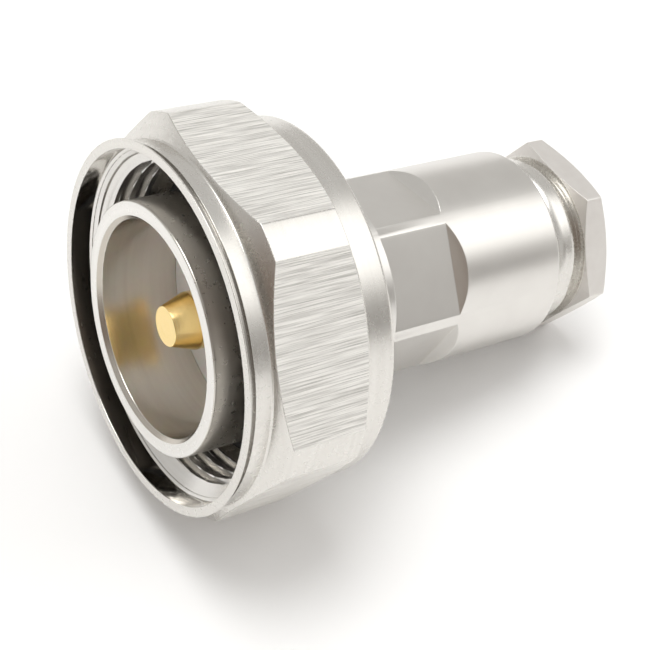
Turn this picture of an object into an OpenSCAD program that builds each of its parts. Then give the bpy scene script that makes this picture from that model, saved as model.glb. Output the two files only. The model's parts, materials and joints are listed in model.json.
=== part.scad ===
// Large threaded coaxial plug for a clamped cable, lying on a table.
// A hexagonal coupling nut turns freely on the front shell, and a clamp nut screws into the body's back end.
// Millimetres. Lengths run along the plug from the coupling nut's front face towards the cable.

/* [Front shell] */
// Bore of the contact tube, which the body's and the nut's sizes build on
tube_inner = 18.6; // [16:0.02:20]
// Wall of the contact tube
tube_wall = 1.58; // [1.2:0.02:2]
// Reach of the tube's rim in front of the nut's front face
tube_reach = 0.15; // [-0.5:0.05:0.3]
// Length of the tube in front of the flange
tube_length = 8.75; // [7.5:0.05:10]
// Bevel inside the tube's rim
rim_bevel = 0.4; // [0.2:0.05:0.6]
// Broken outer edge of the tube's rim
rim_edge = 0.15; // [0.05:0.05:0.3]
// Step from the tube up to the flange that the nut pulls on
flange_step = 2.02; // [1.8:0.02:2.6]
// Thickness of the flange
flange_thick = 1.8; // [1.4:0.1:2.4]
// Wall of the neck that the nut turns on
neck_wall = 2; // [1.8:0.05:2.3]
// Length of the neck behind the nut
shell_stub = 0.3; // [0.2:0.05:0.6]

/* [Coupling nut] */
// Room between the flange and the thread's crests, for crests 27.4 mm across as on M29 x 1.5
flange_room = 0.8; // [0.5:0.05:1.2]
// Depth of the thread's relief and of the chamber behind it
thread_relief = 0.7; // [0.5:0.05:0.9]
// Step from the crests out to the narrow bevel at the mouth's end
lead_step = 0.9; // [0.75:0.05:1.1]
// Step from the narrow bevel out to the mouth
mouth_step = 0.5; // [0.2:0.05:0.6]
// Wall of the front lip around the mouth
lip_wall = 0.85; // [0.7:0.05:1.4]
// Drop from the lip to the band behind it
band_drop = 0.35; // [0.1:0.05:0.5]
// Height of the flats above the lip, for a spanner size of 32 mm
flats_rise = 0.05; // [0:0.05:0.5]
// Height of the turned corners above the flats
corner_rise = 1.65; // [1:0.05:2.2]
// Drop from the flats to the collar behind the hexagon
collar_drop = 0.13; // [0.05:0.01:0.4]
// Turn of the nut on the plug, in degrees
nut_turn = 1.3; // [-4:0.1:4]
// Width of the front lip
lip_width = 0.45; // [0.3:0.05:0.8]
// Width of the band behind the lip
band_width = 1.75; // [1:0.05:2.5]
// Length of the hexagon with its bevels
hex_length = 8.7; // [7:0.1:9.5]
// Length of the front bevel over the corners
front_bevel = 1; // [0.6:0.05:1.4]
// Length of the rear bevel over the corners
rear_bevel = 1.05; // [0.6:0.05:1.4]
// Broken edge of the lip and the collar
nut_edge = 0.25; // [0.1:0.05:0.3]
// Depth of the mouth
mouth_depth = 1.85; // [1.4:0.05:2.4]
// Length of the narrow bevel at the mouth's end
lead_length = 0.35; // [0.2:0.05:0.6]
// Length of the bevel into the thread
thread_bevel = 0.75; // [0.5:0.05:1]
// Length of the thread
thread_length = 4.05; // [3:0.05:5]
// Thickness of the web that turns on the shell
web_thick = 3; // [2.2:0.05:3.4]

/* [Retaining ring] */
// Thickness of the ring
ring_thick = 0.8; // [0.6:0.05:1]
// Reach of the ring into the shell's groove
ring_inner_reach = 0.8; // [0.5:0.05:0.9]
// Reach of the ring into the nut's groove
ring_outer_reach = 0.7; // [0.4:0.05:1]
// Opening of the split ring
ring_opening = 2.2; // [1:0.1:4]

/* [Interface gasket] */
// Thickness of the gasket on the flange
gasket_thick = 1.3; // [0.8:0.1:1.6]
// Step of the gasket's seat above the tube
gasket_seat = 0.6; // [0.3:0.05:1]
// Setback of the gasket from the flange's edge
gasket_setback = 0.3; // [0.1:0.05:0.6]

/* [Insulators] */
// Distance from the front insulator's face to the flange
insulator_lead = 1.1; // [0.8:0.1:1.6]
// Thickness of the front insulator
insulator_thick = 2; // [1.5:0.1:2.4]
// Thickness of the rear insulator
rear_insulator_thick = 4; // [3:0.1:5]
// Bevelled edges of the rear insulator
insulator_edge = 0.3; // [0.1:0.05:0.5]

/* [Centre contact] */
// Diameter of the pin
pin_d = 5; // [4.2:0.05:5.8]
// Drop from the pin to its flat tip
tip_drop = 0.8; // [0.4:0.05:1.2]
// Distance of the tip behind the tube's rim
tip_depth = 1.6; // [1:0.05:2]
// Length of the pin's tapered tip
taper_length = 2.25; // [1.5:0.05:3]
// Step from the pin up to the conductor behind it
conductor_step = 0.35; // [0.25:0.05:0.5]
// Height of the collar that holds the conductor in the front insulator
collar_step = 0.55; // [0.3:0.05:0.8]
// Length of that collar
collar_length = 0.8; // [0.5:0.05:1.2]
// Step from the conductor down to the solder cup
cup_step = 0.65; // [0.4:0.05:0.8]
// Wall of the solder cup
cup_wall = 0.75; // [0.5:0.05:1]
// Depth of the solder cup
cup_depth = 6; // [5:0.1:7]
// Diameter of the sight hole into the cup
sight_hole_d = 1.2; // [0.8:0.1:1.4]

/* [Body] */
// Length of the body behind the front shell
body_length = 23.65; // [21:0.05:28]
// Step from the contact tube's bore in to the body's outside
body_step = 0.28; // [0:0.02:0.4]
// Depth of the spanner flats
flat_depth = 0.97; // [0.7:0.01:1.15]
// Turn of the flats on the plug, in degrees
body_turn = 9.5; // [0:0.5:59.5]
// Length of the round stretch in front of the flats
flats_offset = 4.9; // [4:0.1:6]
// Length of the flats
flats_length = 7; // [5:0.1:8.5]
// Length of the slope behind the flats
flats_run_out = 0.9; // [0.5:0.1:1.5]
// Broken edge at the body's back end
body_edge = 0.45; // [0.2:0.05:0.7]
// Step from the body in to the spigot pressed into the front shell
spigot_step = 0.82; // [0.6:0.02:1]
// Wall around the cable clamp's chamber
chamber_wall = 1.72; // [1.5:0.02:2]
// Step from the chamber in to the bore through the body
seat_step = 0.7; // [0.5:0.05:1]
// Depth of the chamber in the body's back end
chamber_depth = 9.7; // [8.5:0.1:11]

/* [Cable clamp] */
// Length of the braid clamp's cone
cone_length = 1.7; // [1.2:0.1:2.2]
// Room around the cone's wide end for the folded braid
cone_room = 0.2; // [0.1:0.05:0.4]
// Drop from the cone's wide end to its tip
cone_drop = 1.4; // [1:0.1:1.8]
// Thickness of the braid clamp's flange
braid_flange = 1.9; // [1.4:0.1:2.4]
// Step from the cable's bore in to the braid clamp's bore
braid_step = 1.75; // [1.4:0.05:2]
// Height of the ridge that bites into the gasket
ridge_height = 0.7; // [0.3:0.05:1]
// Width of the ridge at its foot
ridge_width = 1; // [0.6:0.05:1.4]
// Length of the clamp's rubber gasket
clamp_gasket_length = 3.4; // [2.8:0.1:4]
// Thickness of the slip washer
washer_thick = 0.85; // [0.5:0.05:1.2]

/* [Clamp nut] */
// Wall of the threaded shank around the cable's bore
shank_wall = 1.75; // [1.5:0.05:2]
// Bevel at the shank's front end
shank_edge = 0.4; // [0.2:0.05:0.6]
// Bevel at the back end of the cable's bore
cable_bevel = 0.5; // [0.2:0.05:0.8]
// Drop from the body to the hexagon's flats, for a spanner size of 16 mm
clamp_flat_drop = 1.02; // [0.7:0.02:1.2]
// Drop from the hexagon's flats to the smooth neck
neck_drop = 0.11; // [0.05:0.01:0.3]
// Drop from the hexagon's flats to the edge of the flat rear face
face_drop = 0.44; // [0.2:0.02:0.8]
// Length of the neck between the body and the hexagon
clamp_neck_length = 3.62; // [3:0.02:5]
// Width of the undercut in front of the hexagon
undercut_width = 0.9; // [0.5:0.05:1.4]
// Depth of the undercut
undercut_depth = 0.2; // [0.1:0.05:0.4]
// Length of the hexagon with its bevels
clamp_hex_length = 2.88; // [2.4:0.02:4]
// Length of the hexagon's front bevel over the corners
clamp_front_bevel = 0.43; // [0.3:0.01:0.8]
// Length of the hexagon's rear bevel over the corners
clamp_rear_bevel = 0.73; // [0.4:0.01:1]

/* [Clearances] */
// Running clearance of the nut on the shell's neck
turning_gap = 0.1; // [0.04:0.01:0.15]
// End clearance between the nut's web and the flange
web_gap = 0.05; // [0.03:0.01:0.15]
// Clearance around the retaining ring
ring_gap = 0.1; // [0.05:0.01:0.15]
// Radial clearance between the shank and its thread in the body
thread_gap = 0.05; // [0.02:0.01:0.1]
// Gap between the body's back end and the clamp nut's neck
shoulder_gap = 0.1; // [0.05:0.01:0.3]
// Radial clearance of the loose pieces in the clamp's chamber
loose_gap = 0.1; // [0.05:0.01:0.2]
// Radial clearance of pressed pieces
press_gap = 0.02; // [0.01:0.01:0.05]

/* [Hidden] */
$fn = 96;

// Room by which cutting shapes pass the surface they cut
cut_room = 1;

// Places along the plug
hex_start = lip_width + band_width;
hex_end = hex_start + hex_length;
lead_end = mouth_depth + lead_length;
thread_start = lead_end + thread_bevel;
thread_end = thread_start + thread_length;
tube_front = -tube_reach;
flange_start = tube_front + tube_length;
flange_end = flange_start + flange_thick;
gasket_start = flange_start - gasket_thick;
web_start = flange_end + web_gap;
nut_length = web_start + web_thick;
ring_start = web_start + (web_thick - ring_thick) / 2;
ring_end = ring_start + ring_thick;
shell_end = nut_length + shell_stub;
insulator_face = flange_start - insulator_lead;
insulator_seat = insulator_face + insulator_thick;
tip_start = tube_front + tip_depth;
flats_start = shell_end + flats_offset;
flats_end = flats_start + flats_length;
body_end = shell_end + body_length;
chamber_start = body_end - chamber_depth;
rear_insulator_end = chamber_start - cone_length;
rear_insulator_start = rear_insulator_end - rear_insulator_thick;
contact_end = rear_insulator_end;
cup_floor = contact_end - cup_depth;
braid_end = chamber_start + braid_flange;
washer_start = braid_end + clamp_gasket_length;
shank_start = washer_start + washer_thick;
shoulder = body_end + shoulder_gap;
clamp_hex_start = shoulder + clamp_neck_length;
clamp_end = clamp_hex_start + clamp_hex_length;

// Radii of the front shell and the nut, from the contact tube outwards
tube_inner_r = tube_inner / 2;
tube_outer_r = tube_inner_r + tube_wall;
gasket_seat_r = tube_outer_r + gasket_seat;
flange_r = tube_outer_r + flange_step;
gasket_outer_r = flange_r - gasket_setback;
crest_r = flange_r + flange_room;
relief_r = crest_r + thread_relief;
lead_r = crest_r + lead_step;
mouth_r = lead_r + mouth_step;
lip_r = mouth_r + lip_wall;
band_r = lip_r - band_drop;
nut_flat_r = lip_r + flats_rise;
nut_corner_r = nut_flat_r + corner_rise;
collar_r = nut_flat_r - collar_drop;

// Radii of the body, the neck inside the nut and the pieces in the body
body_r = tube_inner_r - body_step;
body_flat_r = body_r - flat_depth;
spigot_r = body_r - spigot_step;
neck_r = spigot_r + neck_wall;
web_bore_r = neck_r + turning_gap;
ring_inner_r = neck_r - ring_inner_reach;
ring_outer_r = web_bore_r + ring_outer_reach;
chamber_r = body_r - chamber_wall;
bore_r = chamber_r - seat_step;
loose_r = chamber_r - loose_gap;
cone_base_r = bore_r - cone_room;
cone_tip_r = cone_base_r - cone_drop;

// Radii of the centre contact
pin_r = pin_d / 2;
conductor_r = pin_r + conductor_step;
cup_outer_r = conductor_r - cup_step;
cup_bore_r = cup_outer_r - cup_wall;

// Radii of the clamp nut and the pieces that it presses on
shank_r = chamber_r - thread_gap;
cable_r = shank_r - shank_wall;
braid_bore_r = cable_r - braid_step;
ridge_r = (cable_r + loose_r) / 2;
clamp_flat_r = body_r - clamp_flat_drop;
clamp_corner_r = clamp_flat_r / cos(30);
clamp_neck_r = clamp_flat_r - neck_drop;
clamp_face_r = clamp_flat_r - face_drop;

// The plug lies on the collar's rear edge and on the back of the clamp nut's lowest flat
clamp_rear_slope = clamp_rear_bevel / (clamp_corner_r - clamp_face_r);
clamp_flat_end = clamp_end - face_drop * clamp_rear_slope;
collar_rest = nut_length - nut_edge;
tilt = atan((collar_r - clamp_flat_r) / (clamp_flat_end - collar_rest));
axis_height = collar_rest * sin(tilt) + collar_r * cos(tilt);
front_reach = (lip_r - nut_edge) * sin(tilt);
back_reach = clamp_end * cos(tilt) + clamp_face_r * sin(tilt);

// Lays a piece drawn along +Z down on the table, with the mating face towards -Y
module lay() {
    translate([0, (front_reach - back_reach) / 2, axis_height])
        rotate([-90 - tilt, 0, 0])
            children();
}

// Solid of revolution from an outline of [radius, place] points
module turned(outline) {
    rotate_extrude()
        polygon(outline);
}

// Hexagonal bar from the front of the plug to the given place, with a flat facing straight down
module hex_bar(flat_r, end) {
    translate([0, 0, -cut_room])
        cylinder(r = flat_r / cos(30), h = end + 2 * cut_room, $fn = 6);
}

// Plain ring between two radii
module ring(inner_r, outer_r, start, end) {
    turned([[inner_r, start], [outer_r, start], [outer_r, end], [inner_r, end]]);
}

module coupling_nut() {
    groove_r = ring_outer_r + ring_gap;
    color("gainsboro")
        lay()
            intersection() {
                turned([
                    [mouth_r, 0],
                    [lip_r - nut_edge, 0],
                    [lip_r, nut_edge],
                    [lip_r, lip_width],
                    [band_r, lip_width],
                    [band_r, hex_start],
                    [nut_corner_r, hex_start + front_bevel],
                    [nut_corner_r, hex_end - rear_bevel],
                    [collar_r, hex_end],
                    [collar_r, collar_rest],
                    [collar_r - nut_edge, nut_length],
                    [web_bore_r, nut_length],
                    [web_bore_r, ring_end + ring_gap],
                    [groove_r, ring_end + ring_gap],
                    [groove_r, ring_start - ring_gap],
                    [web_bore_r, ring_start - ring_gap],
                    [web_bore_r, web_start],
                    [relief_r, web_start],
                    [relief_r, thread_end],
                    [crest_r, thread_end],
                    [crest_r, thread_start],
                    [lead_r, lead_end],
                    [mouth_r, mouth_depth]
                ]);
                rotate([0, 0, -nut_turn])
                    hex_bar(nut_flat_r, nut_length);
            }
}

module retaining_ring() {
    color("dimgray")
        lay()
            difference() {
                ring(ring_inner_r, ring_outer_r, ring_start, ring_end);
                translate([-ring_opening / 2, 0, ring_start - cut_room])
                    cube([ring_opening, ring_outer_r + cut_room, ring_thick + 2 * cut_room]);
            }
}

module front_shell() {
    groove_r = ring_inner_r - ring_gap;
    color("lightgray")
        lay()
            turned([
                [tube_inner_r + rim_bevel, tube_front],
                [tube_outer_r - rim_edge, tube_front],
                [tube_outer_r, tube_front + rim_edge],
                [tube_outer_r, gasket_start],
                [gasket_seat_r, gasket_start],
                [gasket_seat_r, flange_start],
                [flange_r, flange_start],
                [flange_r, flange_end],
                [neck_r, flange_end],
                [neck_r, ring_start - ring_gap],
                [groove_r, ring_start - ring_gap],
                [groove_r, ring_end + ring_gap],
                [neck_r, ring_end + ring_gap],
                [neck_r, shell_end],
                [spigot_r + press_gap, shell_end],
                [spigot_r + press_gap, insulator_seat],
                [tube_inner_r, insulator_seat],
                [tube_inner_r, tube_front + rim_bevel]
            ]);
}

module interface_gasket() {
    color("darkslategray")
        lay()
            ring(gasket_seat_r + press_gap, gasket_outer_r, gasket_start, flange_start);
}

module front_insulator() {
    color("white")
        lay()
            ring(conductor_r + press_gap, tube_inner_r - press_gap, insulator_face, insulator_seat);
}

module center_contact() {
    color("goldenrod")
        lay()
            difference() {
                turned([
                    [0, tip_start],
                    [pin_r - tip_drop, tip_start],
                    [pin_r, tip_start + taper_length],
                    [pin_r, insulator_face],
                    [conductor_r, insulator_face],
                    [conductor_r, insulator_seat],
                    [conductor_r + collar_step, insulator_seat],
                    [conductor_r + collar_step, insulator_seat + collar_length],
                    [conductor_r, insulator_seat + collar_length],
                    [conductor_r, rear_insulator_start],
                    [cup_outer_r, rear_insulator_start],
                    [cup_outer_r, contact_end],
                    [cup_bore_r, contact_end],
                    [cup_bore_r, cup_floor],
                    [0, cup_floor]
                ]);
                translate([0, 0, cup_floor + sight_hole_d / 2])
                    rotate([90, 0, 0])
                        cylinder(d = sight_hole_d, h = conductor_r + cut_room);
            }
}

// Cutter for one flat of the body, square in front and sloped behind
module body_flat() {
    slope = flats_run_out / flat_depth;
    outer_r = body_r + cut_room;
    rotate([90, 0, 0])
        linear_extrude(height = 2 * body_r, center = true)
            polygon([
                [body_flat_r, flats_start],
                [outer_r, flats_start],
                [outer_r, flats_end + (outer_r - body_flat_r) * slope],
                [body_flat_r, flats_end]
            ]);
}

module body() {
    color("silver")
        lay()
            difference() {
                turned([
                    [bore_r, insulator_seat],
                    [spigot_r, insulator_seat],
                    [spigot_r, shell_end],
                    [body_r, shell_end],
                    [body_r, body_end - body_edge],
                    [body_r - body_edge, body_end],
                    [chamber_r, body_end],
                    [chamber_r, chamber_start],
                    [bore_r, chamber_start]
                ]);
                for (turn = [30 : 60 : 330])
                    rotate([0, 0, turn - body_turn])
                        body_flat();
            }
}

module rear_insulator() {
    outer_r = bore_r - press_gap;
    inner_r = cup_outer_r + press_gap;
    color("whitesmoke")
        lay()
            turned([
                [inner_r, rear_insulator_start],
                [outer_r - insulator_edge, rear_insulator_start],
                [outer_r, rear_insulator_start + insulator_edge],
                [outer_r, rear_insulator_end - insulator_edge],
                [outer_r - insulator_edge, rear_insulator_end],
                [inner_r, rear_insulator_end]
            ]);
}

module braid_clamp() {
    color("burlywood")
        lay()
            turned([
                [braid_bore_r, rear_insulator_end],
                [cone_tip_r, rear_insulator_end],
                [cone_base_r, chamber_start],
                [loose_r, chamber_start],
                [loose_r, braid_end],
                [ridge_r + ridge_width / 2, braid_end],
                [ridge_r, braid_end + ridge_height],
                [ridge_r - ridge_width / 2, braid_end],
                [braid_bore_r, braid_end]
            ]);
}

module clamp_gasket() {
    color("black")
        lay()
            turned([
                [cable_r, braid_end],
                [ridge_r - ridge_width / 2, braid_end],
                [ridge_r, braid_end + ridge_height],
                [ridge_r + ridge_width / 2, braid_end],
                [loose_r, braid_end],
                [loose_r, washer_start],
                [cable_r, washer_start]
            ]);
}

module slip_washer() {
    color("tan")
        lay()
            ring(cable_r + loose_gap, loose_r, washer_start, shank_start);
}

module clamp_nut() {
    undercut_r = clamp_neck_r - undercut_depth;
    turned_r = clamp_corner_r + cut_room;
    front_slope = clamp_front_bevel / (clamp_corner_r - clamp_neck_r);
    color("lightgray")
        lay()
            intersection() {
                turned([
                    [cable_r, shank_start],
                    [shank_r - shank_edge, shank_start],
                    [shank_r, shank_start + shank_edge],
                    [shank_r, shoulder],
                    [clamp_neck_r, shoulder],
                    [clamp_neck_r, clamp_hex_start - undercut_width],
                    [undercut_r, clamp_hex_start - undercut_width],
                    [undercut_r, clamp_hex_start],
                    [clamp_neck_r, clamp_hex_start],
                    [turned_r, clamp_hex_start + (turned_r - clamp_neck_r) * front_slope],
                    [turned_r, clamp_end - (turned_r - clamp_face_r) * clamp_rear_slope],
                    [clamp_face_r, clamp_end],
                    [cable_r + cable_bevel, clamp_end],
                    [cable_r, clamp_end - cable_bevel]
                ]);
                hex_bar(clamp_flat_r, clamp_end);
            }
}

coupling_nut();
retaining_ring();
front_shell();
interface_gasket();
front_insulator();
center_contact();
body();
rear_insulator();
braid_clamp();
clamp_gasket();
slip_washer();
clamp_nut();
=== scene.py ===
# Large threaded coaxial plug on a white table: turned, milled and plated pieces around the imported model
import json
import math
import bmesh
import bpy
import numpy as np
from mathutils import Matrix, Vector


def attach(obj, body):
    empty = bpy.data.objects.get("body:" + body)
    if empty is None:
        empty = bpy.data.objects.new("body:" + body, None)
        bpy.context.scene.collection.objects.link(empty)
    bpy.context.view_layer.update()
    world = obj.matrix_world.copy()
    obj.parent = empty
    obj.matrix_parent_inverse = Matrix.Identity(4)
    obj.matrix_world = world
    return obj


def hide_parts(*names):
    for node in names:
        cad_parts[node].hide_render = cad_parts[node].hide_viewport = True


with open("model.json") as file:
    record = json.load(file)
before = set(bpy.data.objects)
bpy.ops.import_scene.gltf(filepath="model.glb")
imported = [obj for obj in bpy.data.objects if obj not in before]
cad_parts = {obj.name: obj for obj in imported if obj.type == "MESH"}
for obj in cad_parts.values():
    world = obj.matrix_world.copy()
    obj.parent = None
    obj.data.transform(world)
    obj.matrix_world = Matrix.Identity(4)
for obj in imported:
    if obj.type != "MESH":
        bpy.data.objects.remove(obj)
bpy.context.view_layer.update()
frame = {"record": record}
record = frame["record"]
print("frame loaded")

# the plug's own axes: depth runs from the nut's front face towards the cable, and angles run from the right
# towards the top; sizes are in mm where no note says otherwise
jointFacts = {joint["name"]: joint for joint in record["behaviour"]["joints"]}
mountFacts = {mount["name"]: mount for mount in record["mounts"]}
plugAxes = {
    "pinMiddle": 5.6,  # depth of the pin mount's point
    "mm": 0.001,  # in the frame's metres
}
backDir = np.array(jointFacts["clamp_turn"]["axis"])
rightDir = np.array([1.0, 0.0, 0.0])
topDir = np.cross(rightDir, backDir)
pinPlace = np.array(mountFacts["center_pin"]["pos_m"])
frontCentre = pinPlace - plugAxes["pinMiddle"] * plugAxes["mm"] * backDir


# point = front centre + depth along the plug + radius swung by the angle from the right to the top
def placePoints(radius, angle, depth):
    across = radius * np.cos(angle)
    upward = radius * np.sin(angle)
    offset = across[..., None] * rightDir + upward[..., None] * topDir + depth[..., None] * backDir
    return frontCentre + plugAxes["mm"] * offset


# softer of two limits: half of (a + b - root of ((a - b) squared + blend squared))
def softMin(a, b, blend):
    return 0.5 * (a + b - np.sqrt((a - b) ** 2 + blend ** 2))


outlineRules = {
    "mostOfSide": 0.33,  # the largest share of a side that one rounding takes up
    "flatPoint": 1.4,  # place of the extra point on each side, in roundings from the corner
    "shortest": 1e-9,  # stands for the length of a side that has none
}
plain = (0.0, 0)  # a corner left sharp: no rounding and no steps


# an outline corner is (radius, depth, rounding, steps); the rounding is a parabola between two points set
# back from the corner, with one more point beyond each end so that the flat next to it shades flat
def roundOutline(corners, columnCount, closed):
    knots = np.empty((len(corners), columnCount, 2))
    for index, corner in enumerate(corners):
        knots[index, :, 0] = corner[0]
        knots[index, :, 1] = corner[1]
    runs = []
    for index, (_, _, rounding, steps) in enumerate(corners):
        here = knots[index]
        openEnd = not closed and index in (0, len(corners) - 1)
        if steps == 0 or openEnd:
            runs.append(here[:, None])
            continue
        toLast = knots[index - 1] - here
        toNext = knots[(index + 1) % len(corners)] - here
        lastLength = np.linalg.norm(toLast, axis=1)
        nextLength = np.linalg.norm(toNext, axis=1)
        shorter = np.minimum(lastLength, nextLength)
        reach = np.minimum(rounding, outlineRules["mostOfSide"] * shorter)[:, None]
        lastReach = reach * toLast / np.maximum(lastLength, outlineRules["shortest"])[:, None]
        nextReach = reach * toNext / np.maximum(nextLength, outlineRules["shortest"])[:, None]
        start = (here + lastReach)[:, None]
        end = (here + nextReach)[:, None]
        before = (here + outlineRules["flatPoint"] * lastReach)[:, None]
        after = (here + outlineRules["flatPoint"] * nextReach)[:, None]
        t = np.linspace(0.0, 1.0, steps + 1)[None, :, None]
        curve = (1 - t) ** 2 * start + 2 * t * (1 - t) * here[:, None] + t ** 2 * end
        runs.append(np.concatenate([before, curve, after], axis=1))
    return np.concatenate(runs, axis=1)


# length along the first column's outline
def outlineLength(outline):
    step = np.linalg.norm(np.diff(outline[0], axis=0), axis=1)
    return np.concatenate([[0.0], np.cumsum(step)])


# outline of each column (radius and depth of every row) carried round the axis to the column's angle;
# u runs round the plug at uvRadius and v along the outline
def wrapMesh(name, outline, angles, uvRadius, closed=True, lengths=None):
    columnCount, rowCount = outline.shape[:2]
    angleGrid = np.broadcast_to(angles[:, None], (columnCount, rowCount))
    points = placePoints(outline[..., 0], angleGrid, outline[..., 1])
    column = np.arange(columnCount)
    row = np.arange(rowCount if closed else rowCount - 1)
    c0, r0 = np.meshgrid(column, row, indexing="ij")
    c1 = (c0 + 1) % columnCount
    r1 = (r0 + 1) % rowCount
    here = c0 * rowCount
    beside = c1 * rowCount
    quads = np.stack([here + r0, beside + r0, beside + r1, here + r1], axis=-1).reshape(-1, 4)
    mesh = bpy.data.meshes.new(name)
    mesh.vertices.add(columnCount * rowCount)
    mesh.vertices.foreach_set("co", points.reshape(-1))
    mesh.loops.add(quads.size)
    mesh.loops.foreach_set("vertex_index", quads.reshape(-1).astype(np.int32))
    mesh.polygons.add(len(quads))
    mesh.polygons.foreach_set("loop_start", np.arange(0, quads.size, 4, dtype=np.int32))
    mesh.update(calc_edges=True)
    lengths = outlineLength(outline) if lengths is None else lengths
    around = np.append(angles, angles[0] + 2 * np.pi) * uvRadius
    along = np.append(lengths, 2 * lengths[-1] - lengths[-2])
    u = np.stack([around[c0], around[c0 + 1], around[c0 + 1], around[c0]], axis=-1)
    v = np.stack([along[r0], along[r0], along[r0 + 1], along[r0 + 1]], axis=-1)
    layer = mesh.uv_layers.new(name="turning")
    layer.data.foreach_set("uv", np.stack([u, v], axis=-1).reshape(-1))
    return mesh


# lowest, middle and highest radius and depth of each face between a row and the next
def faceLimits(outline):
    following = np.roll(outline, -1, axis=1)
    return np.minimum(outline, following), 0.5 * (outline + following), np.maximum(outline, following)


# gives each face of a wrapped mesh the number of its finish
def paintFaces(mesh, finish):
    mesh.polygons.foreach_set("material_index", finish.reshape(-1).astype(np.int32))


meshRules = {
    "joinWithin": 2e-7,  # metres
    "sharpAngle": 42,  # degrees
}


# joins the doubled points, turns the faces outwards and puts the finished mesh into the scene
def finishPiece(mesh, materials, body, nodes):
    work = bmesh.new()
    work.from_mesh(mesh)
    bmesh.ops.remove_doubles(work, verts=work.verts, dist=meshRules["joinWithin"])
    bmesh.ops.dissolve_degenerate(work, edges=work.edges, dist=meshRules["joinWithin"])
    bmesh.ops.recalc_face_normals(work, faces=work.faces)
    work.to_mesh(mesh)
    work.free()
    mesh.shade_smooth()
    mesh.set_sharp_from_angle(angle=math.radians(meshRules["sharpAngle"]))
    for material in materials:
        mesh.materials.append(material)
    piece = bpy.data.objects.new(mesh.name, mesh)
    bpy.context.scene.collection.objects.link(piece)
    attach(piece, body)
    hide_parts(*nodes)
    print("made", mesh.name, len(mesh.polygons), "faces")


# a plain turned piece: one outline carried round the axis; finishAt picks each face's finish from its limits
def turnedPiece(name, corners, columnCount, materials, body, nodes, closed=True, finishAt=None):
    angles = np.linspace(0.0, 2 * np.pi, columnCount, endpoint=False)
    outline = roundOutline(corners, columnCount, closed)
    mesh = wrapMesh(name, outline, angles, float(np.max(outline[..., 0])), closed)
    if finishAt:
        low, _, high = faceLimits(outline)
        paintFaces(mesh, finishAt(low, high))
    finishPiece(mesh, materials, body, nodes)


# radians on either side of the edge between a flat and a round corner
edgeAngles = {"flatRoom": 0.008, "cornerRoom": 0.009, "close": (-0.004, -0.0018, 0.0, 0.0018, 0.004)}
sixthTurn = math.pi / 3


# angles of one sixth of a hexagon, close together at the edges between flat and corner
def sixthAngles(edge, flatCount, cornerCount):
    flatEnd = edge - edgeAngles["flatRoom"]
    cornerStart = edge + edgeAngles["cornerRoom"]
    flat = np.linspace(-flatEnd, flatEnd, flatCount)
    corner = np.linspace(cornerStart, sixthTurn - cornerStart, cornerCount)
    close = edge + np.array(edgeAngles["close"])
    return np.concatenate([flat, close, corner, sixthTurn - close[::-1]])


# all six sixths, with the angle from the middle of the nearest flat
def repeatSixth(sixth, firstFlat):
    turns = np.arange(6) * sixthTurn
    angles = (turns[:, None] + sixth[None, :]).reshape(-1)
    fromFlat = np.tile(np.where(sixth > 0.5 * sixthTurn, sixth - sixthTurn, sixth), 6)
    return angles + math.radians(firstFlat), fromFlat


# sets the values of node sockets by name
def setSockets(node, values):
    for key, value in values.items():
        node.inputs[key].default_value = value


# a new material with its node tree and its shader, whose sockets take the given values
def startMaterial(name, values):
    material = bpy.data.materials.new(name)
    material.use_nodes = True
    shader = material.node_tree.nodes["Principled BSDF"]
    setSockets(shader, values)
    return material, material.node_tree, shader


noiseRules = {
    "span": (0.3, 0.7),  # where nearly all of a noise's values lie
    "roughness": 0.55,
    "lineDetail": 2.0, "hairDetail": 3.0, "grainDetail": 3.0, "mottleDetail": 4.0,
    # relief in metres
    "lineHeight": 0.00004, "grainHeight": 0.00002, "millingHeight": 0.0001, "mottleHeight": 0.00005,
}


# noise read in the given coordinates ("UV" or "Object") after scaling them
def addNoise(tree, coordinate, scale, detail):
    source = tree.nodes.new("ShaderNodeTexCoord")
    mapping = tree.nodes.new("ShaderNodeMapping")
    mapping.inputs["Scale"].default_value = scale
    noise = tree.nodes.new("ShaderNodeTexNoise")
    setSockets(noise, {"Scale": 1.0, "Detail": detail, "Roughness": noiseRules["roughness"]})
    tree.links.new(source.outputs[coordinate], mapping.inputs["Vector"])
    tree.links.new(mapping.outputs["Vector"], noise.inputs["Vector"])
    return noise.outputs["Fac"]


# ramp from one colour to another between two levels of a value
def addRamp(tree, value, levels, colours):
    ramp = tree.nodes.new("ShaderNodeValToRGB")
    for element, level, colour in zip(ramp.color_ramp.elements, levels, colours):
        element.position = level
        element.color = (*colour, 1.0)
    tree.links.new(value, ramp.inputs["Fac"])
    return ramp.outputs["Color"]


# spreads a noise between two limits
def addRange(tree, noise, low, high):
    spread = tree.nodes.new("ShaderNodeMapRange")
    start, end = noiseRules["span"]
    setSockets(spread, {"From Min": start, "From Max": end, "To Min": low, "To Max": high})
    tree.links.new(noise, spread.inputs["Value"])
    return spread.outputs["Result"]


# adds one more layer of relief in front of the shader's normal
def addBump(tree, shader, height, strength, distance):
    bump = tree.nodes.new("ShaderNodeBump")
    setSockets(bump, {"Strength": strength, "Distance": distance})
    tree.links.new(height, bump.inputs["Height"])
    if shader.inputs["Normal"].is_linked:
        tree.links.new(shader.inputs["Normal"].links[0].from_socket, bump.inputs["Normal"])
    tree.links.new(bump.outputs["Normal"], shader.inputs["Normal"])


# one operation on a socket and a second value, which is a socket or a number
def addMath(tree, operation, first, second):
    node = tree.nodes.new("ShaderNodeMath")
    node.operation = operation
    tree.links.new(first, node.inputs[0])
    if isinstance(second, float):
        node.inputs[1].default_value = second
    else:
        tree.links.new(second, node.inputs[1])
    return node.outputs[0]


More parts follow.
